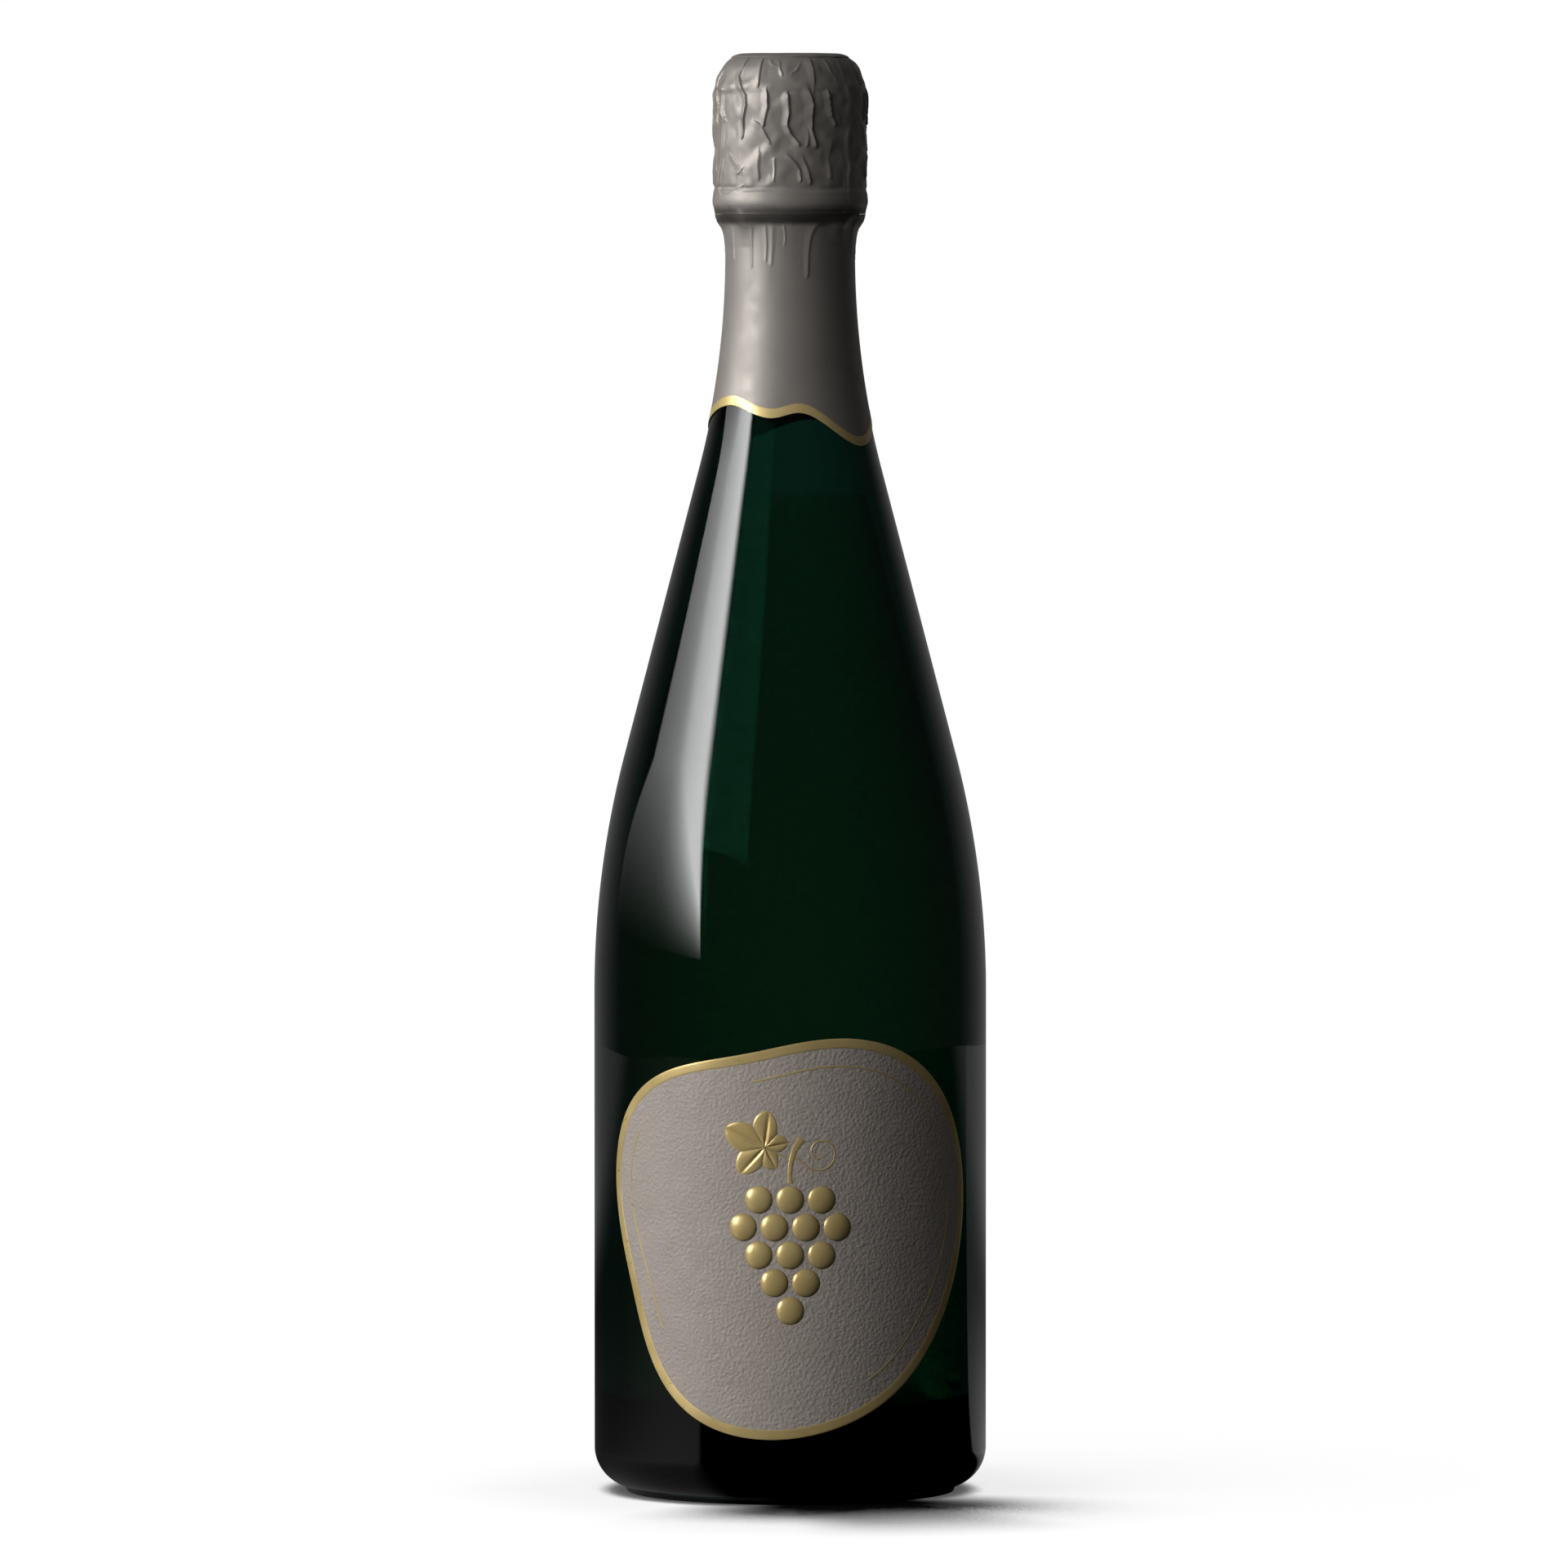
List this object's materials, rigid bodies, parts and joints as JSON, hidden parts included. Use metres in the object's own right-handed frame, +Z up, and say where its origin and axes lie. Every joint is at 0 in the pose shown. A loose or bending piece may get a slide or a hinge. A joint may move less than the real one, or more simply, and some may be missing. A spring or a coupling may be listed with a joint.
{
  "type": "champagne bottle",
  "caption": "Full sparkling wine bottle with punted base, wired mushroom cork, crinkled foil cap, wavy gilt-edged foil collar and wavy front label.",
  "frame": {"origin": "on the bottle's axis, in the plane of the ring that it stands on", "axes": "+Z up the bottle's axis to the cork, -Y out of the middle of the front label, +X to the label's right"},
  "size_m": [0.088, 0.0882, 0.3226],
  "materials": {
    "dark_green_glass": "gloss",
    "wine": "clear liquid",
    "agglomerated_cork": "fine granules",
    "natural_cork": "porous",
    "plaque_tin": "satin",
    "galvanised_wire": "dull zinc",
    "foil": "satin, crinkled",
    "gold_leaf": "hot-stamped foil",
    "label_paper": "leather grain"
  },
  "bodies": {
    "bottle": {"bottle_glass": "dark_green_glass", "wine": "wine", "foil_collar": "foil", "collar_gilding": "gold_leaf", "front_label": "label_paper", "label_gilding": "gold_leaf"},
    "cork": {"cork_body": "agglomerated_cork", "cork_disc_upper": "natural_cork", "cork_disc_lower": "natural_cork"},
    "cage": {"muselet_plaque": "plaque_tin", "muselet_wire_right": "galvanised_wire", "muselet_wire_back": "galvanised_wire", "muselet_wire_left": "galvanised_wire", "muselet_wire_front": "galvanised_wire", "muselet_leg_eyelets": "galvanised_wire", "muselet_belt": "galvanised_wire"},
    "eye": {"muselet_eye": "galvanised_wire"},
    "foil_cap": {"foil_cap": "foil", "foil_top_disc": "foil"},
    "tear_tab": {"foil_tear_tab": "foil"}
  },
  "joints": [
    {"name": "cork_pull", "type": "slide", "parent": "bottle", "child": "cork", "axis": [0, 0, 1], "range_m": [0, 0.045]},
    {"name": "cage_lift", "type": "slide", "parent": "cork", "child": "cage", "axis": [0, 0, 1], "range_m": [0, 0.05], "deforming": ["muselet_belt", "muselet_leg_eyelets"]},
    {"name": "foil_lift", "type": "slide", "parent": "cage", "child": "foil_cap", "axis": [0, 0, 1], "range_m": [0, 0.06]},
    {"name": "eye_swing", "type": "hinge", "parent": "cage", "child": "eye", "pos_m": [-0.0008, 0.01523, 0.2862], "axis": [-0.9986, -0.0523, 0], "range_deg": [0, 95], "deforming": ["muselet_eye"]},
    {"name": "tab_pull", "type": "hinge", "parent": "foil_cap", "child": "tear_tab", "pos_m": [-0.00091, 0.01737, 0.2896], "axis": [0, 0, -1], "range_deg": [0, 90]}
  ],
  "couplings": [
    {"joint": "eye_swing", "follows": "foil_lift", "rad_per_m": 27.6}
  ]
}
